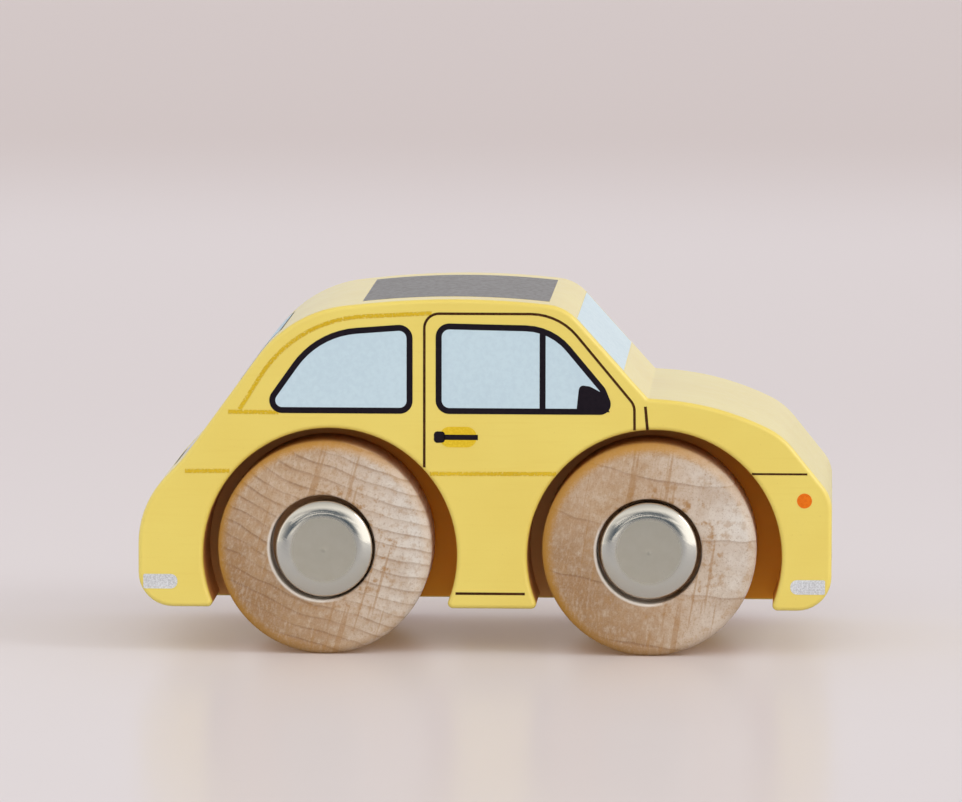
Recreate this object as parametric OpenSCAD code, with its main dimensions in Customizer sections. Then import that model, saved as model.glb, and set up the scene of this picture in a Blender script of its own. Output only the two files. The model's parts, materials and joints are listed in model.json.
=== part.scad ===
// Toy car: one painted wooden block on four turned beech wheels.
// Each wheel turns on a loose steel axle, and a push nut inside a domed cap holds each axle end.
// The origin is on the floor under the middle of the car. X runs to the nose and Z runs up.

/* [Body] */
// Length of the body, tail to nose
body_len = 81; // [77:0.5:88]
// Width of the body across its flat sides
body_w = 36; // [33:0.5:42]
// Height of the underside above the floor
ground_gap = 5.4; // [3:0.1:7]
// Rounding of the edges around both flat sides
rim_round = 0.8; // [0.3:0.1:1.4]

/* [Outline of the tail and roof] */
// Radius of the lower corners at tail and nose
sill_round = 4; // [2:0.25:6]
// Height of the bend of the tail above the underside
tail_h = 11.9; // [9:0.1:14]
// Radius of the bend of the tail
tail_round = 11.4; // [4:0.2:13]
// Tail to the foot of the rear window
deck_back = 5.3; // [4:0.1:8]
// Height of the foot of the rear window above the underside
deck_h = 17.5; // [15:0.1:20]
// Radius of the bend at the foot of the rear window
deck_round = 3; // [1:0.25:8]
// Tail to the rear corner of the roof
roof_back = 17.9; // [15:0.1:21]
// Height of the rear corner of the roof above the underside
roof_back_h = 34.8; // [31:0.1:36]
// Radius of the rear corner of the roof
roof_back_round = 14.8; // [6:0.2:16]
// Tail to the crown of the roof
crown_back = 37.1; // [32:0.1:42]
// Height of the corner over the crown above the underside
crown_h = 36.8; // [35.5:0.1:40]
// Radius of the roof along the car
crown_round = 100; // [50:1:120]

/* [Outline of the windscreen and nose] */
// Run of the windscreen along the car
screen_run = 9.1; // [7:0.1:12]
// Height of the front corner of the roof above the underside
roof_front_h = 35.5; // [32:0.1:37]
// Radius of the front corner of the roof
roof_front_round = 5.2; // [2:0.2:8]
// Nose to the foot of the windscreen
cowl_fore = 22; // [19:0.1:25]
// Height of the foot of the windscreen above the underside
cowl_h = 25; // [23:0.1:27]
// Radius in the crease at the foot of the windscreen
cowl_round = 1.5; // [0.5:0.1:3]
// Nose to the bend of the bonnet
bonnet_fore = 13.4; // [11:0.1:15]
// Height of the bend of the bonnet above the underside
bonnet_h = 24.3; // [22:0.1:26]
// Radius of the bonnet along the car
bonnet_round = 37; // [15:0.5:45]
// Nose to the shoulder over the lamps
shoulder_fore = 5.8; // [4:0.1:8]
// Height of the shoulder over the lamps above the underside
shoulder_h = 20.6; // [18:0.1:22]
// Radius of the shoulder over the lamps
shoulder_round = 9.2; // [4:0.2:12]
// Height of the bend of the nose above the underside
nose_h = 13.4; // [11:0.1:16]
// Radius of the bend of the nose
nose_round = 4.2; // [2:0.2:7]

/* [Wheels] */
// Diameter of a wheel
wheel_d = 25; // [22:0.5:26]
// Thickness of a wheel
wheel_w = 10; // [8:0.25:11]
// Rounding of the edges of a wheel
wheel_round = 1.1; // [0.3:0.1:2]
// How far a wheel stands out of the side of the body
wheel_proud = 0.6; // [0:0.1:2]
// Tail to the rear axle
rear_overhang = 21.85; // [20:0.05:24]
// Nose to the front axle
front_overhang = 21.25; // [20:0.05:24]
// Diameter of the hub that runs against the body
hub_d = 11; // [7:0.5:14]
// Height of the hub
hub_h = 0.8; // [0.4:0.1:1.5]
// Diameter of the recess around the cap
recess_d = 12.3; // [11.8:0.1:14]
// Depth of the recess around the cap
recess_depth = 3.6; // [2.5:0.1:4.5]

/* [Wheel arches] */
// Gap between a wheel and its arch
arch_gap = 2.35; // [2:0.05:3.5]
// How far the arch lies in front of its axle
arch_fore = 0.6; // [-1:0.1:1]
// How far the arch lies below its axle
arch_drop = 0.85; // [0:0.05:1.5]
// Eased edge around the mouth of an arch
arch_ease = 0.4; // [0.1:0.1:0.8]

/* [Axles and caps] */
// Diameter of an axle
axle_d = 4; // [3:0.1:5]
// Chamfer on the ends of an axle
axle_chamfer = 0.4; // [0.1:0.1:1]
// Diameter of a cap
cap_d = 11.3; // [10.5:0.1:11.8]
// Height of a cap
cap_h = 4.4; // [3.5:0.1:6]
// Radius of the shoulder of a cap
cap_shoulder = 1.5; // [0.8:0.1:2]
// Thickness of the sheet of a cap
cap_wall = 0.5; // [0.3:0.05:0.8]
// Width of the lip that is curled in under the push nut
cap_lip = 0.6; // [0.3:0.1:1]
// Diameter of the dimple in the middle of a cap
dimple_d = 1; // [0.5:0.1:2]
// Depth of the dimple in the middle of a cap
dimple_depth = 0.12; // [0.05:0.01:0.25]
// Thickness of a push nut
nut_t = 0.45; // [0.3:0.05:0.8]
// How far the teeth of a push nut bite into the axle
nut_bite = 0.05; // [0.02:0.01:0.1]
// Length of the slots between the teeth
nut_slot_len = 1.4; // [0.8:0.1:2]
// Width of the slots between the teeth
nut_slot_w = 0.5; // [0.3:0.1:0.8]
// Number of teeth on a push nut
nut_teeth = 6; // [4:1:8]

/* [Clearances] */
// Radial clearance of an axle in its bores
bore_gap = 0.1; // [0.05:0.01:0.1]
// Play between a hub and the body
side_play = 0.3; // [0.2:0.05:0.6]
// Play between a cap and the floor of its recess
cap_play = 0.3; // [0.2:0.05:0.6]
// Gap between an axle end and the inside of its cap
tip_gap = 0.3; // [0.1:0.05:0.6]
// Radial gap between a push nut and the inside of its cap
nut_gap = 0.05; // [0.03:0.01:0.15]

/* [Hidden] */
$fn = 96;
wheel_r = wheel_d / 2;
recess_r = recess_d / 2;
arch_r = wheel_r + arch_gap;
axle_r = axle_d / 2;
bore_r = axle_r + bore_gap;
axle_z = wheel_r;
tail_x = -body_len / 2;
nose_x = body_len / 2;
rear_axle_x = tail_x + rear_overhang;
front_axle_x = nose_x - front_overhang;

// Places along an axle, measured out from the middle of the car
wheel_out = body_w / 2 + wheel_proud;
wheel_in = wheel_out - wheel_w;
hub_in = wheel_in - hub_h;
spine_half = hub_in - side_play;
cap_in = wheel_out - recess_depth + cap_play;
cap_out = cap_in + cap_h;
nut_in = cap_in + cap_wall;
axle_half = cap_out - cap_wall - tip_gap;
past = 1; // how far a cut runs past the face that it opens

// Corners of the body's outline, each with its radius, anticlockwise as seen from the right side
cowl_x = nose_x - cowl_fore;
CORNERS = [
    [tail_x, 0, sill_round],
    [nose_x, 0, sill_round],
    [nose_x, nose_h, nose_round],
    [nose_x - shoulder_fore, shoulder_h, shoulder_round],
    [nose_x - bonnet_fore, bonnet_h, bonnet_round],
    [cowl_x, cowl_h, cowl_round],
    [cowl_x - screen_run, roof_front_h, roof_front_round],
    [tail_x + crown_back, crown_h, crown_round],
    [tail_x + roof_back, roof_back_h, roof_back_round],
    [tail_x + deck_back, deck_h, deck_round],
    [tail_x, tail_h, tail_round]
];
CORNER_COUNT = len(CORNERS);
arc_step = 7; // largest turn between two points of an arc, in degrees
arc_span = 2.2; // largest distance between two points of an arc
rim_steps = 4; // flats in the rounding of the body's edges
least_round = rim_round + 0.2; // smallest corner radius that can still be drawn in by the rounding

// Geometry of one corner: its place, the edges into and out of it, and the turn between them
function corner(i) = CORNERS[(i + CORNER_COUNT) % CORNER_COUNT];
function place(i) = [corner(i).x, corner(i).y];
function edge(i) = place(i + 1) - place(i);
function heading(i) = atan2(edge(i).y, edge(i).x);
function wrap(a) = a > 180 ? a - 360 : a < -180 ? a + 360 : a;
function turn(i) = wrap(heading(i) - heading(i - 1));

// An arc takes up this much of both its edges. Two arcs that would meet on an edge are made smaller.
function wanted(i) = max(corner(i)[2], least_round) * tan(abs(turn(i)) / 2);
function room(i) = norm(edge(i)) / (wanted(i) + wanted(i + 1));
function reach(i) = wanted(i) * min(1, room(i - 1), room(i));
function arc_r(i) = reach(i) / tan(abs(turn(i)) / 2);
function arc_count(i) = ceil(max(2, abs(turn(i)) / arc_step, arc_r(i) * abs(turn(i)) * PI / 180 / arc_span));

// The outline as pairs of a point and the direction out of the body there
function out_dir(a) = [cos(a), sin(a)];
function arc(i) =
    let (start_dir = heading(i - 1) - 90, side = sign(turn(i)), count = arc_count(i))
    let (start = place(i) - out_dir(heading(i - 1)) * reach(i))
    let (centre = start - out_dir(start_dir) * side * arc_r(i))
    [for (k = [0:count])
        let (d = out_dir(start_dir + turn(i) * k / count))
        [centre + d * side * arc_r(i), d]];
OUTLINE = [for (i = [0:CORNER_COUNT - 1]) each arc(i)];

// The block is a stack of outlines from the right side to the left, drawn in where its edges round off.
// RIM pairs how far an outline is drawn in with its depth behind the side, and RINGS places it across the car.
RIM = [for (k = [0:rim_steps])
    let (a = 90 * k / rim_steps)
    rim_round * [1 - sin(a), 1 - cos(a)]];
RINGS = concat(
    [for (k = [0:rim_steps]) [RIM[k][0], RIM[k][1] - body_w / 2]],
    [for (k = [rim_steps:-1:0]) [RIM[k][0], body_w / 2 - RIM[k][1]]]
);

module block() {
    count = len(OUTLINE);
    last = len(RINGS) - 1;
    middle = [(rear_axle_x + front_axle_x) / 2, tail_h];
    skin = [for (r = RINGS, p = OUTLINE)
        let (q = p[0] - p[1] * r[0])
        [q.x, r[1], ground_gap + q.y]];
    ends = [for (r = [RINGS[0], RINGS[last]]) [middle.x, r[1], ground_gap + middle.y]];
    right_end = len(skin);
    left_end = right_end + 1;
    walls = [for (j = [0:last - 1], i = [0:count - 1])
        let (a = j * count + i, b = j * count + (i + 1) % count)
        each [[a, a + count, b], [b, a + count, b + count]]];
    sides = [for (i = [0:count - 1])
        let (n = (i + 1) % count)
        each [[right_end, i, n], [left_end, last * count + n, last * count + i]]];
    polyhedron(concat(skin, ends), concat(walls, sides));
}

// Puts a piece that is turned about Z on an axle, pointing out of the left (1) or right (-1) side
module on_axle(x, side) {
    translate([x, 0, axle_z])
        rotate([side > 0 ? -90 : 90, 0, 0])
            children();
}

module wheel_arch() {
    depth = body_w / 2 - spine_half;
    translate([0, 0, spine_half])
        cylinder(r = arch_r, h = depth + past);
    translate([0, 0, body_w / 2 - arch_ease])
        cylinder(r1 = arch_r, r2 = arch_r + arch_ease + past, h = arch_ease + past);
}

module body() {
    color([0.90, 0.79, 0.38])
        difference() {
            block();
            for (x = [rear_axle_x, front_axle_x], side = [1, -1]) {
                translate([arch_fore, 0, -arch_drop])
                    on_axle(x, side)
                        wheel_arch();
            }
            for (x = [rear_axle_x, front_axle_x]) {
                on_axle(x, 1)
                    cylinder(r = bore_r, h = body_w, center = true);
            }
        }
}

// Half section from the axis out to r, between two heights, with its outer corners rounded
module disc_section(r, low, high, round) {
    translate([0, low])
        square([r - round, high - low]);
    translate([0, low + round])
        square([r, high - low - 2 * round]);
    for (z = [low + round, high - round]) {
        translate([r - round, z])
            circle(round);
    }
}

// Half section of a dome from the axis out to r, with only its upper corner rounded
module dome_section(r, low, high, round) {
    translate([0, low])
        square([r - round, high - low]);
    translate([0, low])
        square([r, high - low - round]);
    translate([r - round, high - round])
        circle(round);
}

module wheel(x, side) {
    color([0.82, 0.70, 0.60])
        on_axle(x, side)
            rotate_extrude()
                difference() {
                    union() {
                        disc_section(wheel_r, wheel_in, wheel_out, wheel_round);
                        translate([0, hub_in])
                            square([hub_d / 2, wheel_w / 2]);
                    }
                    translate([0, wheel_out - recess_depth])
                        square([recess_r, recess_depth + past]);
                    translate([0, hub_in - past])
                        square([bore_r, wheel_out - hub_in + 2 * past]);
                }
}

module axle(x) {
    color([0.62, 0.63, 0.65])
        on_axle(x, 1)
            rotate_extrude()
                polygon([
                    [0, -axle_half],
                    [axle_r - axle_chamfer, -axle_half],
                    [axle_r, axle_chamfer - axle_half],
                    [axle_r, axle_half - axle_chamfer],
                    [axle_r - axle_chamfer, axle_half],
                    [0, axle_half]
                ]);
}

module cap(x, side) {
    inside_r = cap_d / 2 - cap_wall;
    dimple_r = (dimple_d * dimple_d / 4 + dimple_depth * dimple_depth) / (2 * dimple_depth);
    color([0.80, 0.80, 0.80])
        on_axle(x, side)
            rotate_extrude()
                difference() {
                    dome_section(cap_d / 2, cap_in, cap_out, cap_shoulder);
                    dome_section(inside_r, nut_in, cap_out - cap_wall, cap_shoulder - cap_wall);
                    translate([0, cap_in - past])
                        square([inside_r - cap_lip, cap_wall + 2 * past]);
                    translate([0, cap_out + dimple_r - dimple_depth])
                        circle(dimple_r);
                }
}

module push_nut(x, side) {
    hole_r = axle_r - nut_bite;
    color([0.55, 0.56, 0.58])
        on_axle(x, side)
            translate([0, 0, nut_in])
                difference() {
                    cylinder(r = cap_d / 2 - cap_wall - nut_gap, h = nut_t);
                    translate([0, 0, -past])
                        cylinder(r = hole_r, h = nut_t + 2 * past);
                    for (k = [0:nut_teeth - 1]) {
                        rotate([0, 0, 360 * k / nut_teeth])
                            translate([0, -nut_slot_w / 2, -past])
                                cube([hole_r + nut_slot_len, nut_slot_w, nut_t + 2 * past]);
                    }
                }
}

body();
axle(front_axle_x);  // front_axle
axle(rear_axle_x);  // rear_axle
wheel(front_axle_x, 1);  // front_left_wheel
wheel(front_axle_x, -1);  // front_right_wheel
wheel(rear_axle_x, 1);  // rear_left_wheel
wheel(rear_axle_x, -1);  // rear_right_wheel
cap(front_axle_x, 1);  // front_left_cap
cap(front_axle_x, -1);  // front_right_cap
cap(rear_axle_x, 1);  // rear_left_cap
cap(rear_axle_x, -1);  // rear_right_cap
push_nut(front_axle_x, 1);  // front_left_push_nut
push_nut(front_axle_x, -1);  // front_right_push_nut
push_nut(rear_axle_x, 1);  // rear_left_push_nut
push_nut(rear_axle_x, -1);  // rear_right_push_nut
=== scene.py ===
# %% [markdown]
# # A painted wooden car on four beech wheels
# The real toy is one block of wood, painted yellow and printed with windows, seams and trim,
# on two steel axles with plated caps. The solids of the part are already packed, so this lesson
# loads them as a fixed frame and then dresses them: each piece is drawn where the frame says.

# %% Load the frame
import json
import math

import bmesh
import bpy
from mathutils import Matrix, Vector

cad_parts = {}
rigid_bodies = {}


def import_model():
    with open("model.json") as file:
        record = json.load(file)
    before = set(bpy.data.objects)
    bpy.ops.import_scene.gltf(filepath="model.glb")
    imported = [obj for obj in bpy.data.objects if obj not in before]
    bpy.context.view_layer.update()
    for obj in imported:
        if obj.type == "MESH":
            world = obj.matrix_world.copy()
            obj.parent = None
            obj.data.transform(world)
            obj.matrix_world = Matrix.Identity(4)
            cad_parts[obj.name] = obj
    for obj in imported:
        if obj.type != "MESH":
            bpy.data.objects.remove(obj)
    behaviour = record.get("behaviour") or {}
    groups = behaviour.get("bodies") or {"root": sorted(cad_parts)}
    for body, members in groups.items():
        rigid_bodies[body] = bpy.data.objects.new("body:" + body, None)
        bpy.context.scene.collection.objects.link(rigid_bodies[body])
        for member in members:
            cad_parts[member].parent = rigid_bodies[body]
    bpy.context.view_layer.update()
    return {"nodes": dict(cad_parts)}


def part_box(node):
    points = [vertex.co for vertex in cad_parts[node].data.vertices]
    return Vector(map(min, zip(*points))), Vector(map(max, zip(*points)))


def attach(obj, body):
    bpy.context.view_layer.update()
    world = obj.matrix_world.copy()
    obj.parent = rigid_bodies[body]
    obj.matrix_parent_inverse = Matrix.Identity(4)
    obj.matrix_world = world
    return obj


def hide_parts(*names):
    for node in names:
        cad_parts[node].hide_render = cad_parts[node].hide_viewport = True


for spare in list(bpy.data.objects):
    bpy.data.objects.remove(spare)
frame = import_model()
scene = bpy.context.scene
scene.view_settings.view_transform = "Standard"

# %% [markdown]
# ## Measures
# Everything is drawn in millimetres, which are easy to read on a ruler held against a toy of this
# size, and turned into Blender's metres when a piece is finished. The main sizes are taken from
# the boxes of the solids, so that the dressing follows the part if the part changes.

# %% Read the sizes of the solids
MM = 0.001


def box_mm(node):
    low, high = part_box(node)
    return low / MM, high / MM


body_low, body_high = box_mm("body")
TAIL, NOSE = body_low.x, body_high.x
UNDER, SIDE = body_low.z, body_high.y
print(f"body {NOSE - TAIL:.1f} mm long, {2 * SIDE:.1f} mm wide, underside at {UNDER:.1f} mm")

# %% [markdown]
# ## Camera
# The photograph was taken from far away with a long lens, almost square to the right-hand side and
# a little from above. A camera far back with a narrow view gives the same flat perspective. It is
# turned in three simple steps, yaw, pitch and roll, so that each can be changed alone.

# %% Set up the camera
CAMERA_AT = Vector((40.34, -898.0, 123.36)) * MM
YAW, PITCH, ROLL = 2.65, 6.061, 0.073
LENS, SENSOR = 284.8, 36.0
camera = bpy.data.objects.new("camera", bpy.data.cameras.new("camera"))
camera.data.lens, camera.data.sensor_width = LENS, SENSOR
camera.data.clip_start, camera.data.clip_end = 0.05, 30.0
camera.matrix_world = (
    Matrix.Translation(CAMERA_AT)
    @ Matrix.Rotation(math.radians(YAW), 4, "Z")
    @ Matrix.Rotation(math.radians(90 - PITCH), 4, "X")
    @ Matrix.Rotation(math.radians(ROLL), 4, "Z")
)
scene.collection.objects.link(camera)
scene.camera = camera
print("camera distance", round(CAMERA_AT.length, 3), "m")

# %% [markdown]
# ## Recipes for materials
# A material is a net of nodes, and nets are hard to read as lists of links. Here one small class,
# Flow, stands for an output socket: adding or multiplying two of them adds a Math node. Another,
# Recipe, holds a material, and its method `add` makes any node from its type, its settings and
# what goes into its sockets.

# %% Flow
class Flow:
    """An output socket that can be used in sums."""

    def __init__(self, recipe, socket):
        self.recipe, self.socket = recipe, socket

    def __add__(self, other):
        return self.recipe.maths("ADD", self, other)

    def __sub__(self, other):
        return self.recipe.maths("SUBTRACT", self, other)

    def __rsub__(self, other):
        return self.recipe.maths("SUBTRACT", other, self)

    def __mul__(self, other):
        return self.recipe.maths("MULTIPLY", self, other)

    __radd__, __rmul__ = __add__, __mul__


# %% Recipe
class Recipe:
    """A material, or the sky, that is written down step by step."""

    def __init__(self, name, sky=False):
        self.material = (bpy.data.worlds if sky else bpy.data.materials).new(name)
        self.material.use_nodes = True
        self.tree = self.material.node_tree
        self.shader = self.tree.nodes["Background" if sky else "Principled BSDF"]

    def plug(self, node, sockets):
        pairs = sockets.items() if isinstance(sockets, dict) else enumerate(sockets)
        for key, value in pairs:
            if isinstance(value, Flow):
                self.tree.links.new(value.socket, node.inputs[key])
            else:
                node.inputs[key].default_value = value

    def add(self, kind, settings, sockets, out=0):
        node = self.tree.nodes.new(kind)
        for key, value in settings.items():
            setattr(node, key, value)
        self.plug(node, sockets)
        return Flow(self, node.outputs[out])

    def maths(self, operation, *terms):
        return self.add("ShaderNodeMath", {"operation": operation}, terms)

    def vector(self, operation, *terms, out=0):
        return self.add("ShaderNodeVectorMath", {"operation": operation}, terms, out)

    def coordinate(self, axis, where):
        """One number of a place: 0 for X, 1 for Y and 2 for Z."""
        return self.add("ShaderNodeSeparateXYZ", {}, (where,), axis)

    def radius(self, where):
        """How far a place is from the Y axis, the way that the axles run."""
        return self.vector("LENGTH", self.vector("MULTIPLY", where, (1, 0, 1)), out=1)

    def place(self, centre=(0, 0, 0), size=(1, 1, 1), turn=0):
        """Object coordinates in millimetres from a centre, turned about Y and squeezed by size."""
        here = self.add("ShaderNodeTexCoord", {}, {}, out=3)
        return self.add("ShaderNodeMapping", {"vector_type": "TEXTURE"}, {
            0: here, 1: Vector(centre) * MM, 2: (0, math.radians(turn), 0), 3: Vector(size) * MM})

    def noise(self, where, scale=1.0, detail=3.0, roughness=0.5):
        return self.add("ShaderNodeTexNoise", {}, {
            "Vector": where, "Scale": scale, "Detail": detail, "Roughness": roughness})

    def fade(self, value, low, high, start=0.0, end=1.0):
        """Goes smoothly from start to end as the value goes from low to high."""
        return self.add("ShaderNodeMapRange", {"interpolation_type": "SMOOTHSTEP"},
                        (value, low, high, start, end))

    def mix(self, share, first, second):
        return self.add("ShaderNodeMix", {"data_type": "RGBA"}, {0: share, 6: first, 7: second}, out=2)

    def bump(self, height, depth):
        """A bump whose full height is depth, in millimetres."""
        return self.add("ShaderNodeBump", {}, {"Height": height, "Distance": depth * MM})

    def finish(self, **sockets):
        self.plug(self.shader, {key.replace("_", " "): value for key, value in sockets.items()})
        print("finish:", self.material.name, len(self.tree.nodes), "nodes")


# %% Colours
def tint(red, green, blue):
    """A colour as a picture editor shows it, in the linear numbers that Blender works in."""
    def linear(part):
        part /= 255
        return part / 12.92 if part <= 0.04045 else ((part + 0.055) / 1.055) ** 2.4
    return (linear(red), linear(green), linear(blue), 1.0)


print("half of full white in a picture is", round(tint(128, 128, 128)[0], 2), "of its light")


# %% [markdown]
# ## Floor and light
# The toy stands on a pale sheet that runs back out of the picture, painted darker far behind as
# painted shade. It has a faint sheen, so the car shows in it as soft streaks, and a weak glow for the
# camera alone lifts its shadows. The light is a pale sky, brightest in front and on the right, and a
# wide sun adds a highlight. Mirrors see a little more in the sky: dark shelves in the room behind
# the camera.

# %% Paper
paper = Recipe("paper")
paper_spot = paper.place()
paper_depth = paper.coordinate(1, paper_spot)
paper_cloud = paper.noise(paper_spot, scale=0.02, detail=2)
paper_tooth = paper_cloud * 0.7 + paper.noise(paper_spot, scale=2.0) * 0.3
paper_shade = paper.mix(paper_tooth, tint(211, 212, 218), tint(207, 207, 213))
# painted shade: the sheet turns darker with distance behind the car
paper_shade = paper.mix(paper.fade(paper_depth, -60, 300), paper_shade, tint(198, 197, 203))
paper_shade = paper.mix(paper.fade(paper_depth, 520, 860), paper_shade, tint(177, 172, 175))
paper_eye = paper.add("ShaderNodeLightPath", {}, {})
paper.finish(
    Base_Color=paper_shade,
    Roughness=0.22,
    Specular_IOR_Level=0.011,
    Emission_Color=paper.mix(paper_eye, (0, 0, 0, 1), (0.13, 0.063, 0.024, 1)),
    Emission_Strength=1.0,
)

# %% Floor
FLOOR_HALF = 6.0  # metres
sheet = bmesh.new()
bmesh.ops.create_grid(sheet, x_segments=1, y_segments=1, size=FLOOR_HALF)
floor_mesh = bpy.data.meshes.new("floor")
sheet.to_mesh(floor_mesh)
sheet.free()
floor_mesh.materials.append(paper.material)
floor = bpy.data.objects.new("floor", floor_mesh)
scene.collection.objects.link(floor)
print("floor", floor.dimensions[:2])

# %% Light
LEFT, RIGHT, FRONT = (1.04, 1.03, 1.01, 1), (1.5, 1.5, 1.49, 1), (1.42, 1.4, 1.31, 1)
BACK, ZENITH, SHELF = (0.82, 0.85, 0.93, 1), (0.5, 0.5, 0.5, 1), (0.09, 0.12, 0.16, 1)
SUN_WAY, SUN_ENERGY, SUN_SPREAD = (0.75, -0.32, 0.55), 0.45, 20
studio = Recipe("studio", sky=True)
way = studio.add("ShaderNodeTexCoord", {}, {}, out=0)
right, behind, up = (studio.coordinate(axis, way) for axis in range(3))
flat_way = studio.vector("MULTIPLY", way, (2, 2, 12))
seen, mirrored = (studio.add("ShaderNodeLightPath", {}, {}, ray) for ray in (0, 3))
glow = studio.mix(studio.fade(right, -0.3, 0.9), LEFT, RIGHT)
glow = studio.mix(studio.fade(behind, 0.0, 0.6), glow, BACK)
glow = studio.mix(studio.fade(up, 0.4, 1.0), glow, ZENITH)
shelves = studio.fade(studio.noise(flat_way, detail=3), 0.33, 0.5) * studio.fade(right, 0.15, 0.6, 1, 0)
shelves = shelves * studio.fade(up, -0.05, 0.04) * studio.fade(up, 0.35, 0.6, 1, 0)
front = studio.fade(behind, -0.95, -0.3, 1, 0)
lit = studio.mix(mirrored, studio.mix(front, glow, FRONT), studio.mix(front * shelves, glow, SHELF))
studio.finish(Color=studio.mix(seen, lit, tint(216, 207, 206)), Strength=1.0)
scene.world = studio.material
sun = bpy.data.objects.new("sun", bpy.data.lights.new("sun", "SUN"))
sun.data.energy, sun.data.angle = SUN_ENERGY, math.radians(SUN_SPREAD)
sun.rotation_euler = Vector(SUN_WAY).to_track_quat("Z", "Y").to_euler()
scene.collection.objects.link(sun)
print("sky", len(studio.tree.nodes), "nodes, sun", SUN_ENERGY)

# %% [markdown]
# ## A pen for outlines
# A sawn and printed toy is all straight runs and round bends, which is how a pen is moved along a
# ruler and a compass. The Pen below draws on the plane of the car's side, X forward and Z up.
# Both of its moves are one operator, spin: a turn about a centre for a bend, and a shift without
# a turn for a run. A pen without width leaves an outline, and a broad one leaves a flat band.

# %% The pen
BEND_STEP, BEND_SPAN = 9.0, 1.0
MERGE = 1e-4  # points closer than this are one


class Pen:
    """Draws runs and bends in millimetres, from a point and a heading in degrees."""

    def __init__(self, bm, at, heading, width=0.0):
        self.bm, self.at, self.heading = bm, Vector(at), heading
        half = self.along(90) * width / 2
        ends = [bm.verts.new(self.at + half)]
        if width:
            ends.append(bm.verts.new(self.at - half))
        self.tip = [bm.edges.new(ends)] if width else ends

    def along(self, turn=0):
        angle = math.radians(self.heading + turn)
        return Vector((math.cos(angle), 0, math.sin(angle)))

    def sweep(self, centre, shift, angle, steps):
        made = bmesh.ops.spin(self.bm, geom=self.tip, cent=centre, axis=(0, -1, 0), dvec=shift,
                              angle=angle, steps=steps)
        self.tip = made["geom_last"]

    def run(self, length):
        if length > MERGE:
            shift = self.along() * length
            self.sweep(self.at, shift, 0, 1)
            self.at = self.at + shift

    def bend(self, radius, turn):
        """Turns left by so many degrees, or right if they are negative."""
        centre = self.at + self.along(math.copysign(90, turn)) * radius
        angle = math.radians(turn)
        steps = math.ceil(max(abs(turn) / BEND_STEP, abs(angle) * radius / BEND_SPAN, 2))
        self.sweep(centre, (0, 0, 0), angle, steps)
        self.at = centre + Matrix.Rotation(-angle, 3, "Y") @ (self.at - centre)
        self.heading += turn


# %% Draw, fill and pull
def draw(bm, path, width=0.0):
    """Follows a path of corners (x, z) or (x, z, radius)."""
    spots = [Vector((corner[0], 0, corner[1])) for corner in path]
    radii = [corner[2] if len(corner) > 2 else 0.0 for corner in path]
    legs = [after - before for before, after in zip(spots, spots[1:])]
    headings = [math.degrees(math.atan2(leg.z, leg.x)) for leg in legs]
    pen = Pen(bm, spots[0], headings[0], width)
    used = 0.0
    for leg, radius, now, after in zip(legs, radii[1:], headings, headings[1:] + headings[-1:]):
        turn = (after - now + 180) % 360 - 180
        taken = radius * math.tan(math.radians(abs(turn)) / 2)
        pen.run(leg.length - used - taken)
        if taken:
            pen.bend(radius, turn)
        else:
            pen.heading += turn
        used = taken


def close(bm):
    """Joins the ends of an outline and fills it with one face."""
    bmesh.ops.remove_doubles(bm, verts=bm.verts, dist=MERGE)
    return bmesh.ops.edgeloop_fill(bm, edges=[edge for edge in bm.edges if edge.is_wire])["faces"]


def fill(bm, corners):
    """Draws a closed outline, from the middle of its last side, and fills it."""
    middle = [(a + b) / 2 for a, b in zip(corners[0][:2], corners[-1][:2])]
    draw(bm, [middle, *corners, middle])
    return close(bm)


def copied(bm, faces):
    """The vertices of a copy of the faces, joined to the first ones by walls."""
    made = bmesh.ops.extrude_face_region(bm, geom=faces)["geom"]
    return [part for part in made if isinstance(part, bmesh.types.BMVert)]


def pull(bm, faces, shift):
    """Gives flat faces a thickness."""
    bmesh.ops.translate(bm, vec=shift, verts=copied(bm, faces))
    bmesh.ops.recalc_face_normals(bm, faces=bm.faces)


# %% Hand over a finished piece
SMOOTH_BELOW = 35  # degrees


def soften(mesh):
    """Shades a mesh smooth but for its sharp corners."""
    mesh.shade_smooth()
    mesh.set_sharp_from_angle(angle=math.radians(SMOOTH_BELOW))
    return mesh


def mesh_from(bm, name):
    """Scales a drawing to metres and makes it a mesh."""
    bmesh.ops.scale(bm, vec=(MM, MM, MM), verts=bm.verts)
    mesh = bpy.data.meshes.new(name)
    bm.to_mesh(mesh)
    bm.free()
    return soften(mesh)


def show(name, mesh, material, body, stands_for=None):
    """Puts a mesh in the scene, on the body it moves with.

    A piece that stands for a solid has its flats shaded flat beside their rounded edges.
    """
    mesh.materials.clear()
    mesh.materials.append(material)
    piece = bpy.data.objects.new(name, mesh)
    scene.collection.objects.link(piece)
    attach(piece, body)
    if stands_for:
        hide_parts(stands_for)
        piece.modifiers.new("flats", "WEIGHTED_NORMAL").keep_sharp = True
    print("piece:", name, len(mesh.polygons), "faces")


# %% [markdown]
# ## Body
# The block was sawn to its outline, then the wheel arches were cut in from both sides and every
# edge was sanded round. The same order works here: a filled outline is pulled across the car, a
# Boolean takes the arches away, and a Bevel rounds the rims of both sides and of the arches.

# %% Saw the outline
OUTLINE = [
    (TAIL, UNDER, 4.0), (NOSE, UNDER, 4.0), (NOSE, 18.8, 4.2), (NOSE - 5.8, 26.0, 9.2),
    (NOSE - 13.4, 29.7, 37.0), (NOSE - 21.45, 30.2, 0.5), (NOSE - 31.1, 40.9, 5.2),
    (TAIL + 37.1, 42.2, 100.0), (TAIL + 17.9, 40.2, 14.8), (TAIL + 5.3, 22.9, 3.0),
    (TAIL, 17.3, 11.4),
]


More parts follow.
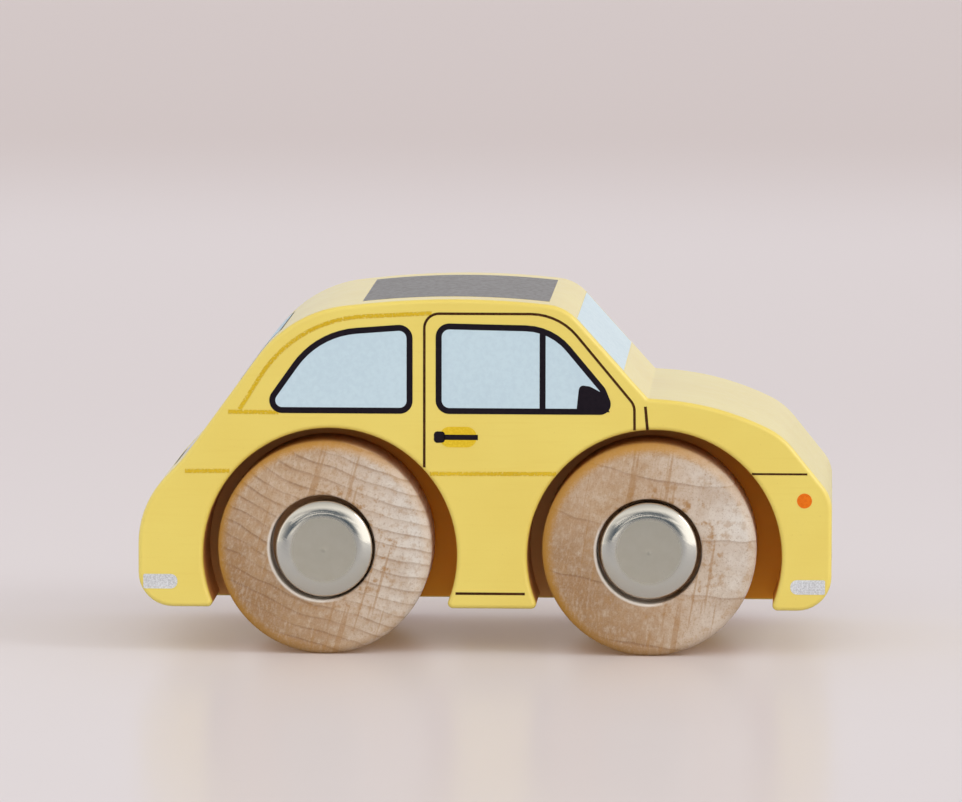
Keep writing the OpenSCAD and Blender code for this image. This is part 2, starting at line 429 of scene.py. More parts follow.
def gentle(corners):
    """The corners again, with each radius made small enough for its neighbours."""
    count, tangents = len(corners), []
    for i, (x, z, radius) in enumerate(corners):
        here, back, fore = (Vector(corners[j % count][:2]) for j in (i, i - 1, i + 1))
        turn = (here - back).angle(fore - here)
        tangents.append((radius, math.tan(turn / 2), (fore - here).length))
    eased = []
    for i, (x, z, radius) in enumerate(corners):
        share = 1.0
        for a, b in ((i - 1, i), (i, (i + 1) % count)):
            need = tangents[a][0] * tangents[a][1] + tangents[b][0] * tangents[b][1]
            share = min(share, tangents[a][2] / need if need else 1.0)
        eased.append((x, z, radius * share))
    return eased


block = bmesh.new()
pull(block, fill(block, gentle(OUTLINE)), (0, 2 * SIDE, 0))
bmesh.ops.translate(block, vec=(0, -SIDE, 0), verts=block.verts)
block_mesh = mesh_from(block, "body")
print("outline of", len(OUTLINE), "corners")

# %% Shape of a wheel arch
ARCH_REACH, ARCH_FORE, ARCH_DROP = 2.35, 0.6, 0.85
SPINE, LIP = 7.5, 0.6
AXLE_HOLE = 2.1
PAST = 2.0  # how far a cutter sticks out of the wood


def axle_of(end):
    """Middle and radius of the wheel at one end of the car, front or rear."""
    low, high = box_mm(f"{end}_right_wheel")
    return Vector(((low.x + high.x) / 2, 0, (low.z + high.z) / 2)), (high.z - low.z) / 2


AXLES = {end: axle_of(end) for end in ("rear", "front")}


def arch(end):
    """Centre and radius of the wheel arch at one end."""
    hub, radius = AXLES[end]
    return hub + Vector((ARCH_FORE, 0, -ARCH_DROP)), radius + ARCH_REACH


def arch_outline(bm, end):
    """A round arch that runs out into the underside over two small lips."""
    centre, radius = arch(end)
    rise = UNDER + LIP - centre.z
    run = math.sqrt((radius + LIP) ** 2 - rise ** 2)
    lip_turn = math.degrees(math.acos(rise / (radius + LIP)))
    pen = Pen(bm, (centre.x + run, 0, UNDER), 180)
    pen.bend(LIP, -lip_turn)
    pen.bend(radius, 2 * lip_turn)
    pen.bend(LIP, -lip_turn)
    for heading, length in ((270, PAST), (0, 2 * run), (90, PAST)):
        pen.heading = heading
        pen.run(length)
    return close(bm)


for end, (hub, radius) in AXLES.items():
    print(f"{end} axle at {hub.x:.1f} mm, {hub.z:.1f} mm up, wheel radius {radius:.1f} mm")

# %% Cut the wheel arches
def on_bench(mesh):
    """A plain object that a modifier can work on."""
    work = bpy.data.objects.new("work", mesh)
    scene.collection.objects.link(work)
    return work


def off_bench(work):
    """The mesh that the modifiers made. The object itself goes."""
    mesh = bpy.data.meshes.new_from_object(work.evaluated_get(bpy.context.evaluated_depsgraph_get()))
    bpy.data.objects.remove(work)
    return mesh


def cut_away(mesh, cutter):
    """The mesh with a cutter taken out of it."""
    work, tool = on_bench(mesh), on_bench(cutter)
    knife = work.modifiers.new("cut", "BOOLEAN")
    knife.operation, knife.solver, knife.object = "DIFFERENCE", "EXACT", tool
    result = off_bench(work)
    bpy.data.objects.remove(tool)
    return result


for end in AXLES:
    for side in (-1, 1):
        pocket = bmesh.new()
        pull(pocket, arch_outline(pocket, end), (0, side * (SIDE - SPINE + PAST), 0))
        bmesh.ops.translate(pocket, vec=(0, side * SPINE, 0), verts=pocket.verts)
        block_mesh = cut_away(block_mesh, mesh_from(pocket, "pocket"))
    hole = bmesh.new()
    bmesh.ops.create_cone(hole, cap_ends=True, segments=32, radius1=AXLE_HOLE, radius2=AXLE_HOLE,
                          depth=2 * (SPINE + PAST))
    bmesh.ops.rotate(hole, cent=(0, 0, 0), matrix=Matrix.Rotation(math.pi / 2, 3, "X"), verts=hole.verts)
    bmesh.ops.translate(hole, vec=AXLES[end][0], verts=hole.verts)
    block_mesh = cut_away(block_mesh, mesh_from(hole, "hole"))
    print(end, "arch radius", round(arch(end)[1], 2), "mm")

# %% Sand the edges
RIM_ROUND, RIM_LEVEL = 0.55, 1e-3
RIM_TURN = 0.5  # radians
WELD = 0.003 * MM


def on_rim(edge):
    """An edge around a flat side or the mouth of an arch, where the wood turns a sharp corner."""
    level = all(abs(abs(vert.co.y / MM) - SIDE) < RIM_LEVEL for vert in edge.verts)
    return level and edge.calc_face_angle(0) > RIM_TURN


rims = bmesh.new()
rims.from_mesh(block_mesh)
bmesh.ops.remove_doubles(rims, verts=rims.verts, dist=WELD)
weight = rims.edges.layers.float.new("bevel_weight_edge")
for edge in rims.edges:
    edge[weight] = float(on_rim(edge))
rims.to_mesh(block_mesh)
rims.free()
sanded = on_bench(soften(block_mesh))
sander = sanded.modifiers.new("sand", "BEVEL")
sander.width, sander.segments, sander.profile = RIM_ROUND * MM, 4, 0.5
sander.limit_method, sander.use_clamp_overlap = "WEIGHT", False
body_mesh = soften(off_bench(sanded))
body_mesh.name = "body_block"
print("sanded block", len(body_mesh.polygons), "faces")

# %% [markdown]
# ## Yellow paint
# The block wears a satin yellow, sprayed thin enough that the grain of the wood still shows as
# faint lines along the car. A noise that is stretched along X gives those lines, a broad one makes
# the coat uneven, and a fine one leaves specks of dust under it. Inside the arches, above the
# underside, a mask by distance from the arch paints shade: the yellow turns a darker orange there
# and its coat is duller.

# %% Paint
paint = Recipe("yellow_paint")
paint_cloud = paint.noise(paint.place(size=(16, 12, 12)), detail=2)
paint_grain = paint.noise(paint.place(size=(11, 0.5, 0.5)), detail=3, roughness=0.6)
paint_fleck = paint.noise(paint.place(), scale=4.0, detail=2)
paint_dust = paint.fade(paint_fleck, 0.68, 0.78)
paint_coat = paint.mix(paint.fade(paint_cloud, 0.3, 0.7), tint(242, 217, 104), tint(239, 211, 97))
paint_lined = paint.mix(paint.fade(paint_grain, 0.5, 0.75, 0, 0.16), paint_coat, tint(230, 196, 80))
across, height = (paint.coordinate(axis, paint.place()) for axis in (1, 2))
deep = paint.fade(paint.maths("ABSOLUTE", across), SIDE - 0.9, SIDE - 0.3, 0.9, 0)
deep = deep * paint.fade(height, UNDER + 0.02, UNDER + 0.2)
paint_whole, in_arches = paint_lined, 0.0
for end in AXLES:
    centre, radius = arch(end)
    spot = paint.place(centre)
    # painted shade: a mask of the inside of each arch, above the underside, where the paint turns a
    # darker orange
    inside = paint.fade(paint.radius(spot), radius + 0.1, radius + 0.3, 1, 0) * deep
    # painted light and shade: less saturated towards the rear of each arch, a deep orange towards the
    # front
    painted_light_share = paint.fade(paint.coordinate(0, spot), -6, 12)
    paint_whole = paint.mix(inside, paint_whole, paint.mix(painted_light_share, tint(228, 156, 92), tint(240, 148, 4)))
    in_arches = inside + in_arches
paint.finish(
    Base_Color=paint.mix(paint_dust * 0.35, paint_whole, tint(200, 160, 64)),
    Roughness=paint.fade(paint_grain, 0.3, 0.75, 0.42, 0.5) + in_arches * 0.4,
    Specular_IOR_Level=0.45,
    Coat_Weight=0.7 * (1 - in_arches),
    Coat_Roughness=0.24,
    Normal=paint.bump(paint_grain * 0.6 + paint_fleck * 0.4, 0.02),
)
show("body_block", body_mesh, paint.material, "body", "body")

# %% [markdown]
# ## Printing inks
# Windows, seams and trim were printed on the paint in thin opaque inks. Each ink is a little
# uneven, as ink on wood is: a fine noise breaks up its colour, and the ochre ones are so grainy
# that the paint shows through.

# %% Inks
def ink(name, light, dark, grain=2.5, shine=0.5, gloss=0.2, metal=0.0, cover=1.0):
    """An ink that wanders between two tones, with grain in spots per millimetre."""
    recipe = Recipe(name)
    spot = recipe.place()
    fine = recipe.noise(spot, scale=grain, detail=3, roughness=0.65)
    broad = recipe.noise(spot, scale=0.15, detail=1)
    share = recipe.fade(fine * 0.75 + broad * 0.25, 0.36, 0.64)
    recipe.finish(
        Base_Color=recipe.mix(share, tint(*light), tint(*dark)),
        Roughness=recipe.fade(fine, 0.3, 0.7, shine - 0.06, shine + 0.1),
        Specular_IOR_Level=gloss,
        Metallic=metal,
        Normal=recipe.bump(fine, 0.01),
    )
    if cover < 1:
        recipe.finish(Alpha=recipe.fade(fine, 0.62 - 0.3 * cover, 0.7 - 0.3 * cover))
    return recipe.material


black_ink = ink("black_ink", (22, 14, 24), (30, 21, 30), gloss=0.12)
seam_ink = ink("seam_ink", (52, 24, 4), (86, 50, 14), gloss=0.15)
screen_ink = ink("screen_ink", (216, 229, 235), (208, 222, 229), grain=1.6)
glass_ink = ink("glass_ink", (202, 221, 232), (196, 215, 227), grain=1.6)
grey_ink = ink("grey_ink", (138, 133, 130), (131, 126, 123), grain=1.6)
orange_ink = ink("orange_ink", (240, 120, 6), (230, 106, 4))
lamp_ink = ink("lamp_ink", (240, 240, 234), (228, 230, 228))
plate_ink = ink("plate_ink", (216, 211, 214), (206, 200, 204))
tail_ink = ink("tail_ink", (186, 48, 34), (168, 36, 28))
silver_ink = ink("silver_ink", (240, 240, 244), (198, 196, 200), grain=5.0, metal=0.2)
ochre_ink = ink("ochre_ink", (232, 194, 44), (210, 168, 24), grain=5.0, cover=0.85)
ochre_haze = ink("ochre_haze", (230, 196, 56), (212, 172, 32), grain=5.0, cover=0.62)
recess_ink = ink("recess_ink", (240, 204, 48), (224, 184, 30), grain=4.0)

# %% [markdown]
# ## Prints on the sides
# Both sides carry the same print, mirrored. Each print is drawn flat with the pen, then pulled
# through the face of the side: it starts a little below the paint and ends a hair above it, so
# no two faces share a plane. Black frames lie over the blue panes as the second ink did.

# %% Print a drawing on both sides
SUNK = 0.05


def print_sides(name, drawing, proud, material):
    """Prints what a drawing leaves on its bmesh on the right and on the left side."""
    for side, word in ((-1, "right"), (1, "left")):
        bm = bmesh.new()
        drawing(bm)
        pull(bm, bm.faces[:], (0, side * (SUNK + proud), 0))
        bmesh.ops.translate(bm, vec=(0, side * (SIDE - SUNK), 0), verts=bm.verts)
        show(f"{word}_{name}", mesh_from(bm, f"{word}_{name}"), material, "body")


# %% Windows
QUARTER_WINDOW = [(-26.5, 28.27, 1.5), (-8.37, 28.27, 1.5), (-8.37, 38.8, 1.6),
                  (-19.63, 37.94, 10.0)]
DOOR_WINDOW = [(-5.68, 28.28, 1.6), (15.3, 28.28, 1.25), (14.1, 31.35, 2.0), (8.0, 38.64, 7.0),
               (-5.68, 38.9, 1.6)]
MIRROR = [(10.72, 28.6), (14.6, 28.6), (13.6, 30.9, 0.4), (12.3, 31.6, 0.8), (11.15, 31.75, 0.5),
          (10.98, 31.1, 0.3)]
BAR = [(6.78, 28.6), (6.78, 38.1)]
FRAME_WIDTH = 0.7


def panes(bm):
    for window in (QUARTER_WINDOW, DOOR_WINDOW):
        fill(bm, window)


def window_frames(bm):
    for window in (QUARTER_WINDOW, DOOR_WINDOW):
        opening = fill(bm, window)
        bmesh.ops.inset_region(bm, faces=opening, thickness=FRAME_WIDTH, use_boundary=True,
                               use_even_offset=True)
        bmesh.ops.delete(bm, geom=opening, context="FACES_ONLY")


print_sides("window_panes", panes, 0.02, glass_ink)
print_sides("window_frames", window_frames, 0.03, black_ink)
print_sides("window_bar", lambda bm: draw(bm, BAR, FRAME_WIDTH), 0.028, black_ink)
print_sides("door_mirror", lambda bm: fill(bm, MIRROR), 0.032, black_ink)

# %% Seams, lines and handle
DOOR_SEAM = [(-7.0, 22.0), (-7.0, 40.0, 1.7), (8.66, 40.02, 7.0), (17.47, 29.43, 1.8), (17.5, 26.5)]
SEAMS = [
    (DOOR_SEAM, 0.3),
    ([(18.75, 29.28), (19.0, 26.55)], 0.33),
    ([(31.16, 21.47), (37.61, 21.47)], 0.24),
    ([(-3.34, 7.2), (4.76, 7.2)], 0.3),
]
OCHRE_LINES = [
    [(-28.58, 28.67), (-21.97, 39.2, 15.0), (-6.14, 40.05)],
    [(-29.92, 28.38), (-24.02, 28.36)],
    [(-34.97, 21.4), (-29.77, 21.45)],
    [(-6.34, 21.25), (8.38, 21.32)],
]
OCHRE_WIDTH, OCHRE_CORE = 0.5, 0.3
HANDLE_RECESS = [(-5.2, 24.37, 1.15), (-0.9, 24.37, 1.15), (-0.9, 26.78, 1.15),
                 (-5.2, 26.78, 1.15)]
HANDLE_HEAD = [(-5.88, 24.87, 0.42), (-4.6, 24.92, 0.35), (-4.6, 26.2, 0.35), (-5.88, 26.26, 0.42)]
HANDLE_BAR, HANDLE_WIDTH = [(-4.7, 25.55), (-0.75, 25.55)], 0.62


def seams(bm):
    for path, width in SEAMS:
        draw(bm, path, width)


def ochre_lines(bm, width):
    for path in OCHRE_LINES:
        draw(bm, path, width)


def handle(bm):
    fill(bm, HANDLE_HEAD)
    draw(bm, HANDLE_BAR, HANDLE_WIDTH)


print_sides("seams", seams, 0.02, seam_ink)
print_sides("ochre_lines", lambda bm: ochre_lines(bm, OCHRE_WIDTH), 0.02, ochre_haze)
print_sides("ochre_cores", lambda bm: ochre_lines(bm, OCHRE_CORE), 0.024, ochre_ink)
print_sides("handle_recess", lambda bm: fill(bm, HANDLE_RECESS), 0.02, recess_ink)
print_sides("handle", handle, 0.03, black_ink)

# %% Lamp dot and bumper ends
DOT_AT, DOT_R = (37.3, 0, 18.35), 0.87
FRONT_BUMPER, REAR_BUMPER = (7.37, 9.07), (7.55, 9.27)
BUMPER_ENDS = [(FRONT_BUMPER, 35.7, 39.75), (REAR_BUMPER, -35.9, -39.9)]


def lamp_dot(bm):
    bmesh.ops.create_circle(bm, cap_ends=True, segments=40, radius=DOT_R)
    bmesh.ops.rotate(bm, cent=(0, 0, 0), matrix=Matrix.Rotation(math.pi / 2, 3, "X"), verts=bm.verts)
    bmesh.ops.translate(bm, vec=DOT_AT, verts=bm.verts)


def bumper_ends(bm):
    """Ends that are round where the bumper stops and square at the corners of the car."""
    for (low, high), stop, corner in BUMPER_ENDS:
        fill(bm, [(stop, low, 0.8), (corner, low, 0.2), (corner, high, 0.2), (stop, high, 0.8)])


print_sides("lamp_dot", lamp_dot, 0.025, orange_ink)
print_sides("bumper_ends", bumper_ends, 0.02, silver_ink)

# %% [markdown]
# ## Prints that wrap round the block
# The windscreen, the rear window and the other prints on the roof and the ends follow the curves.
# A print there has to follow the wood exactly, so it is peeled from it: the skin of the body is
# copied, cut down to the print by planes, and pushed out by a hair along its own normals.

# %% Peel a print off the body
ON_PLANE, TURNED_AWAY, PROUD = 1e-5, 0.12, 0.025


def shift_out(verts, distance):
    """Moves the skin along its own normals."""
    for vert, normal in [(vert, vert.normal.copy()) for vert in verts]:
        vert.co += normal * distance


def peel(name, facing, cuts, material, proud=PROUD):
    """Keeps the skin behind all cuts, each a point and a direction out of the print."""
    bm = bmesh.new()
    bm.from_mesh(body_mesh)
    bmesh.ops.scale(bm, vec=(1 / MM,) * 3, verts=bm.verts)
    for spot, outward in cuts:
        parts = bm.verts[:] + bm.edges[:] + bm.faces[:]
        bmesh.ops.bisect_plane(bm, geom=parts, dist=ON_PLANE, plane_co=spot, plane_no=outward,
                               clear_outer=True)
    away = [face for face in bm.faces if face.normal.dot(Vector(facing)) < TURNED_AWAY]
    bmesh.ops.delete(bm, geom=away, context="FACES")
    bm.normal_update()
    shift_out(bm.verts, -SUNK)
    shift_out(copied(bm, bm.faces[:]), SUNK + proud)
    bmesh.ops.recalc_face_normals(bm, faces=bm.faces)
    show(name, mesh_from(bm, name), material, "body")


def between(low, high, axis):
    """Two cuts that keep what lies between two places on an axis."""
    way = Vector([float(axis == letter) for letter in "xyz"])
    return [(way * low, -way), (way * high, way)]


# %% Windscreen and roof panel
FAR = 50  # past every side of the car
SCREEN_TOP, SCREEN_FOOT, SCREEN_HALF = Vector((10.82, 0, 39.47)), Vector((16.2, 0, 33.4)), 16.8
PANEL_BACK, PANEL_FRONT, PANEL_HALF, PANEL_ABOVE = -14.4, 7.4, 14, 38
screen_slope = (SCREEN_FOOT - SCREEN_TOP).normalized()
peel("windscreen", (0.75, 0, 0.66), [
    (SCREEN_TOP, -screen_slope), (SCREEN_FOOT, screen_slope), *between(-SCREEN_HALF, SCREEN_HALF, "y"),
], screen_ink)
peel("roof_panel", (0, 0, 1), [
    *between(PANEL_BACK, PANEL_FRONT, "x"), *between(-PANEL_HALF, PANEL_HALF, "y"),
    *between(PANEL_ABOVE, FAR, "z"),
], grey_ink)

# %% Rear window, tail and bumpers
REAR_LOW, REAR_HIGH, REAR_HALF, REAR_FRAME = 31.2, 37.4, 11.5, 0.2
TAIL_PRINTS = [("tail_panel", 21.6, 24.4, plate_ink), ("tail_strip", 20.75, 21.25, black_ink)]
TAIL_HALF, BUMPER_HALF = 6.5, 15.5
BEHIND_DOOR, BEHIND_WHEEL, NEAR_END = -15, -25, 38.5
BACKWARD = (-0.8, 0, 0.6)


def end_print(name, facing, heights, lengths, half, material, proud=PROUD):
    """A print across one end of the car."""
    cuts = [*between(*heights, "z"), *between(*lengths, "x"), *between(-half, half, "y")]
    peel(name, facing, cuts, material, proud)


for name, inset, proud, material in (("rear_window_frame", 0, 0.02, black_ink),
                                     ("rear_window", REAR_FRAME, 0.05, glass_ink)):
    end_print(name, BACKWARD, (REAR_LOW + inset, REAR_HIGH - inset), (-FAR, BEHIND_DOOR),
              REAR_HALF - inset, material, proud)
for name, low, high, material in TAIL_PRINTS:
    end_print(name, BACKWARD, (low, high), (-FAR, BEHIND_WHEEL), TAIL_HALF, material)
end_print("front_bumper", (1, 0, 0), FRONT_BUMPER, (NEAR_END, FAR), BUMPER_HALF, silver_ink)
end_print("rear_bumper", (-1, 0, 0), REAR_BUMPER, (-FAR, -NEAR_END), BUMPER_HALF, silver_ink)

# %% [markdown]
# ## Lamps on the nose and tail
# The picture doesn't show the ends, so these follow what such a toy has: two round lamps on the
# nose and two small ones on the tail. Both ends are upright there, so flat discs will do, sunk a
# little into the block.

# %% Lamps
LAMP_PROUD = 0.03


def discs(name, face_x, spread, height, radius, material):
    """A pair of round lamps printed on an upright end of the car."""
    bm = bmesh.new()
    out = math.copysign(1, face_x)
    for side in (-1, 1):
        made = bmesh.ops.create_circle(bm, cap_ends=True, segments=48, radius=radius)["verts"]
        bmesh.ops.rotate(bm, cent=(0, 0, 0), matrix=Matrix.Rotation(math.pi / 2, 3, "Y"), verts=made)
        bmesh.ops.translate(bm, vec=(face_x - SUNK * out, side * spread, height), verts=made)
    pull(bm, bm.faces[:], (out * (SUNK + LAMP_PROUD), 0, 0))
    show(name, mesh_from(bm, name), material, "body")


discs("front_lamps", NOSE, spread=11.5, height=13.6, radius=2.8, material=lamp_ink)
discs("tail_lamps", TAIL, spread=13.0, height=12.7, radius=1.6, material=tail_ink)

# %% [markdown]
# ## Beech wheels
# Each wheel was turned from a beech dowel, so its face is end grain: growth rings cross it as soft
# bands, nearly straight because the heart of the tree lies far outside the wheel. Brown rays cross
# them, and the bored recess has specks round it and a pale band on its lip. Rings are steps of the
# distance from that heart, and every wheel has its own heart, turn and gap between rings. The tones
# are then laid over one another: broad ones first, the edge and recess last. Light and shade are
# painted into the face too. It is darkest towards the lower rear and palest towards the front, and
# the rim is painted golden as shade with yellow light from the arch, most at the rear and top.

# %% Growth rings
RECESS_R, RECESS_DEEP = 6.15, 3.6


def growth(wood, away, gap):
    """The soft bands and the thin lines of rings that are a gap apart in the distance away."""
    to_ring = (1 - wood.maths("FRACT", away * (-1 / gap))) * gap
    soft = wood.fade(to_ring, 0.08, 0.7 * gap, 1, 0) * wood.fade(to_ring, 0, 0.08)
    line = wood.fade(to_ring, 0.15, 0.43, 1, 0) * wood.fade(to_ring, 0, 0.12)
    return soft, line


# %% Beech
def beech(name, hub, rim, turn, heart, gap, eye):
    """End grain of a wheel of radius rim, whose recess lies round an eye a little off the hub."""
    wood = Recipe(name)
    shifted = Vector((0, turn, 0))  # so that no two wheels share a noise
    spot, face = wood.place(hub + shifted, turn=turn), wood.place(hub + eye)

    def toward(*direction):
        return wood.vector("DOT_PRODUCT", face, direction, out=1)

    cloud = wood.noise(spot, scale=0.3, detail=4)
    patch = wood.noise(spot, scale=1.1, detail=4, roughness=0.6)
    pore = wood.noise(spot, scale=6.0, detail=2, roughness=0.7)
    flake = wood.noise(wood.place(hub, (0.3, 8, 0.9), turn), detail=3, roughness=0.6)
    ray = wood.noise(wood.place(hub, (0.7, 20, 16), turn), detail=2, roughness=0.5)
    mood = wood.noise(wood.place(hub, (8, 9, gap), turn), detail=1)
    sway = wood.noise(spot, scale=0.12, detail=2) * 1.6 + cloud * 0.5
    soft, line = growth(wood, wood.radius(wood.vector("SUBTRACT", spot, heart)) - sway, gap)
    out = wood.radius(face)

    drawn = line * wood.fade(mood, 0.36, 0.6, 0.12, 0.5) * wood.fade(toward(1, 0, 0), -4, 8, 1, 0.6)
    speck = wood.fade(out + toward(-0.12, 0, 0), RECESS_R + 0.05, RECESS_R + 2.85, 1, 0)
    # a pale band on the lip of the recess, most at the lower rear
    pale_lip_band = wood.fade(out, RECESS_R + 0.15, RECESS_R + 0.43, 1, 0)
    pale_lip_band = pale_lip_band * wood.fade(toward(-0.8, 0, -0.6) + pore * 3, 2.0, 6.0)
    # painted shade and reflected yellow light on the rounded rim
    edge = wood.fade(out + pore * 0.8, rim - 1.1, rim + 0.1)
    # painted shade: the darkest tone, which stays towards the lower rear of the face
    tone = tint(156, 118, 80)
    for share, colour in (
        (wood.fade(toward(0.8, 0, 0.6) + cloud * 8, -9, 5), (196, 167, 140)),  # painted light: warmer and lighter towards the upper front
        (wood.fade(toward(1, 0, 0.1) + cloud * 8, 2, 18), (226, 218, 211)),  # painted light: palest towards the front
        (wood.fade(cloud, 0.44, 0.68, 0, 0.4), (172, 136, 98)),
        (wood.fade(patch, 0.48, 0.68, 0, 0.4), (176, 136, 94)),
        (wood.fade(patch, 0.3, 0.5, 0.18, 0), (230, 220, 208)),
        (soft * 0.3, (168, 130, 96)),  # ring bands
        (drawn, (128, 90, 58)),  # ring lines
        (wood.fade(flake, 0.46, 0.76, 0, 0.2), (232, 222, 210)),
        (wood.fade(ray, 0.6, 0.68, 0, 0.5), (168, 124, 76)),  # rays
        (wood.fade(pore, 0.54, 0.74, 0, 0.5), (148, 112, 80)),  # pores
        (wood.fade(pore, 0.28, 0.46, 0.13, 0), (232, 220, 206)),
        (wood.fade(patch, 0.5, 0.72) * speck * 0.8, (166, 118, 60)),  # specks round the recess
        (pale_lip_band * 0.85, (240, 232, 224)),  # a pale band on its lip, most at the lower rear
        (edge * wood.fade(toward(-0.9, 0, 0.4), -9, 7, 0.2, 0.85), (186, 132, 44)),  # painted shade with yellow light from the arch on the rim, most at the rear and top
        (wood.fade(out, RECESS_R - 0.2, RECESS_R - 0.05, 1, 0), (214, 162, 118)),  # bored wood
    ):
        tone = wood.mix(share, tone, tint(*colour))
    wood.finish(
        Base_Color=tone,
        Roughness=wood.fade(pore, 0.3, 0.7, 0.58, 0.74),
        Specular_IOR_Level=0.3,
        Normal=wood.bump(pore * 0.5 + flake * 0.3 - line * 0.3, 0.05),
    )
    return wood.material


# %% Turn a piece
ON_AXIS = 0.01


def turned(section, closed, steps=112):
    """Turns a half section, radius along X and height along Z, about the Z axis."""
    bm = bmesh.new()
    draw(bm, section + section[:1] if closed else section)
    bmesh.ops.remove_doubles(bm, verts=bm.verts, dist=MERGE)
    for vert in bm.verts:
        vert.co.x = vert.co.x if vert.co.x > ON_AXIS else 0.0
    bmesh.ops.spin(bm, geom=bm.verts[:] + bm.edges[:], cent=(0, 0, 0), axis=(0, 0, 1), dvec=(0, 0, 0),
                   angle=2 * math.pi, steps=steps, use_merge=True)
    bmesh.ops.remove_doubles(bm, verts=bm.verts, dist=MERGE)
    bmesh.ops.recalc_face_normals(bm, faces=bm.faces)
    return bm


def on_axle(bm, end, side, out):
    """Lays a turned piece on its axle, facing out of one side, with its height 0 at out."""
    facing = Matrix.Rotation(-side * math.pi / 2, 3, "X")
    bmesh.ops.rotate(bm, cent=(0, 0, 0), matrix=facing, verts=bm.verts)
    bmesh.ops.translate(bm, vec=AXLES[end][0] + Vector((0, side * out, 0)), verts=bm.verts)
    return bm


# %% Wheels
WHEEL_W, WHEEL_ROUND = 10.0, 1.1
HUB_R, HUB_H = 5.5, 0.8
RECESS_NEAR = 0.5


def wheel_section(radius):
    """Half of a wheel, with height 0 at its outer face."""
    return [
        (AXLE_HOLE, -RECESS_DEEP), (AXLE_HOLE, -WHEEL_W - HUB_H), (HUB_R, -WHEEL_W - HUB_H, 0.3),
        (HUB_R, -WHEEL_W, 0.3), (radius, -WHEEL_W, WHEEL_ROUND), (radius, 0, WHEEL_ROUND),
        (RECESS_R, 0, 0.25), (RECESS_R, -RECESS_DEEP, 0.3),
    ]


GRAIN = {  # turn, heart, gap between rings, eye of the recess
    ("rear", -1): (16, (6, 0, 75), 1.55, (-0.23, 0, 0.06)),
    ("front", -1): (9, (0, 0, 68), 6.5, (0, 0, -0.16)),
    ("rear", 1): (70, (5, 0, 60), 1.8, (0.2, 0, 0.1)),
    ("front", 1): (140, (-6, 0, 55), 2.4, (-0.1, 0, 0.1)),
}
WHEEL_OUT = {end: -box_mm(f"{end}_right_wheel")[0].y for end in AXLES}


def shift_recess(bm, eye, side):
    """The recess was bored by hand, so it sits a little off the axle."""
    near = [vert for vert in bm.verts if vert.co.z > -RECESS_DEEP - RECESS_NEAR
            and AXLE_HOLE + RECESS_NEAR < vert.co.xy.length < RECESS_R + RECESS_NEAR]
    bmesh.ops.translate(bm, vec=(eye.x, -side * eye.z, 0), verts=near)


for (end, side), (turn, heart, gap, eye) in GRAIN.items():
    name = f"{end}_{'left' if side > 0 else 'right'}_wheel"
    hub, rim = AXLES[end]
    shape = turned(wheel_section(rim), True)
    shift_recess(shape, Vector(eye), side)
    grain = beech(f"beech_{name}", hub, rim, turn, heart, gap, Vector(eye))
    mesh = mesh_from(on_axle(shape, end, side, WHEEL_OUT[end]), name)
    show(f"turned_{name}", mesh, grain, name, name)

# %% [markdown]
# ## Plated caps
# A push-on cap is pressed from thin sheet and plated. Its round shoulder shines like a mirror, and
# its flat face is a little duller from the press. One turned shell makes both, and the material
# goes from dull to bright with the distance from the axle.

# %% Plating
SHOULDER_FROM, SHOULDER_FULL = 3.6, 4.2


def plating(name, hub):
    """Dull on the flat face and bright on the shoulder round it."""
    plate = Recipe(name)
    spot = plate.place(hub)
    smear = plate.noise(spot, scale=0.9, detail=3)
    scuff = plate.noise(plate.place(hub, (3, 3, 0.15), 35), detail=2)
    shoulder = plate.fade(plate.radius(spot), SHOULDER_FROM, SHOULDER_FULL)
    tone = plate.mix(smear, tint(220, 211, 193), tint(211, 201, 181))
    plate.finish(
        Base_Color=plate.mix(shoulder * 0.45, tone, tint(222, 220, 216)),
        Roughness=(0.24 + smear * 0.12) * (1 - shoulder) + shoulder * 0.1,
        Metallic=1.0,
        Normal=plate.bump(scuff, 0.004),
    )
    return plate.material


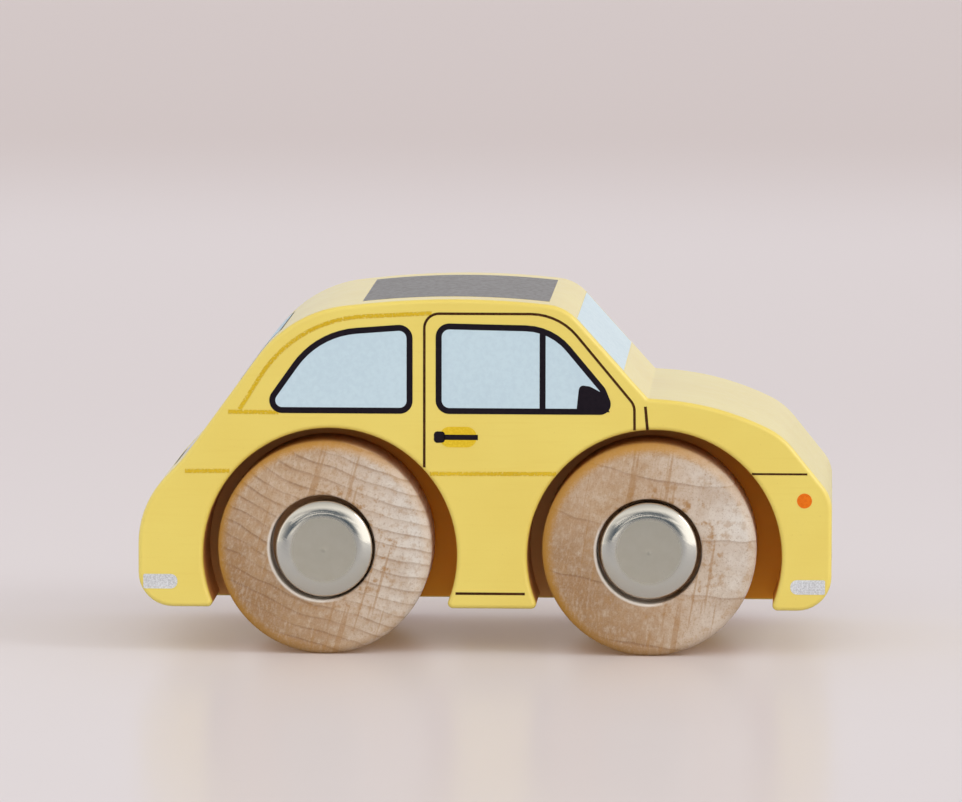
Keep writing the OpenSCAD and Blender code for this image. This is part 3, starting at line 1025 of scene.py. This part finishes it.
# %% Caps
CAP_R, CAP_H, CAP_WALL, CAP_LIP = 5.65, 4.4, 0.5, 0.6
CAP_MOUTH, CAP_INSIDE = CAP_R - CAP_WALL - CAP_LIP, CAP_R - CAP_WALL
FACE_R, FACE_DROP, INNER_R, INNER_DROP = 4.59, 0.61, 4.45, 1.05
DIMPLE_R, DIMPLE_RIM, DIMPLE_DEEP = 0.15, 0.4, 0.03
CAP_SECTION = [
    (0, -DIMPLE_DEEP), (DIMPLE_R, -DIMPLE_DEEP, 0.1), (DIMPLE_RIM, 0, 0.3), (FACE_R, 0, 3.5),
    (CAP_R, -FACE_DROP, 0.5), (CAP_R, -CAP_H, 0.2), (CAP_MOUTH, -CAP_H, 0.1),
    (CAP_MOUTH, CAP_WALL - CAP_H, 0.1), (CAP_INSIDE, CAP_WALL - CAP_H), (CAP_INSIDE, -INNER_DROP, 0.4),
    (INNER_R, -CAP_WALL, 0.5), (0, -CAP_WALL),
]
for end in AXLES:
    for side, word in ((-1, "right"), (1, "left")):
        node = f"{end}_{word}_cap"
        low, high = box_mm(node)
        shape = on_axle(turned(CAP_SECTION, False), end, side, max(-low.y, high.y))
        show(f"pressed_{node}", mesh_from(shape, node), plating(f"plating_{node}", AXLES[end][0]),
             f"{end}_axle_set", node)

# %% [markdown]
# ## Steel that hardly shows
# The axles and the push nuts inside the caps keep their solids, whose shapes are right already.
# They only need the look of drawn rod and of blued spring steel.

# %% Steel
def steel(name, light, dark, size):
    """Steel with fine lines of the given size and a little rust."""
    rod = Recipe(name)
    line = rod.noise(rod.place(size=size), detail=3)
    rust = rod.noise(rod.place(), scale=1.2, detail=3)
    tone = rod.mix(line, tint(*light), tint(*dark))
    rod.finish(
        Base_Color=rod.mix(rod.fade(rust, 0.62, 0.8, 0, 0.4), tone, tint(120, 92, 70)),
        Roughness=rod.fade(line, 0.3, 0.7, 0.25, 0.45),
        Metallic=1.0,
        Normal=rod.bump(line, 0.01),
    )
    return rod.material


drawn_rod = steel("drawn_rod", (186, 186, 188), (150, 150, 154), (0.2, 6, 0.2))
spring_strip = steel("spring_strip", (120, 118, 122), (88, 86, 94), (0.4, 0.4, 0.4))
for node, solid in frame["nodes"].items():
    if node.endswith("_axle") or node.endswith("_push_nut"):
        solid.data.materials.clear()
        solid.data.materials.append(drawn_rod if node.endswith("_axle") else spring_strip)
        print("kept solid:", node)
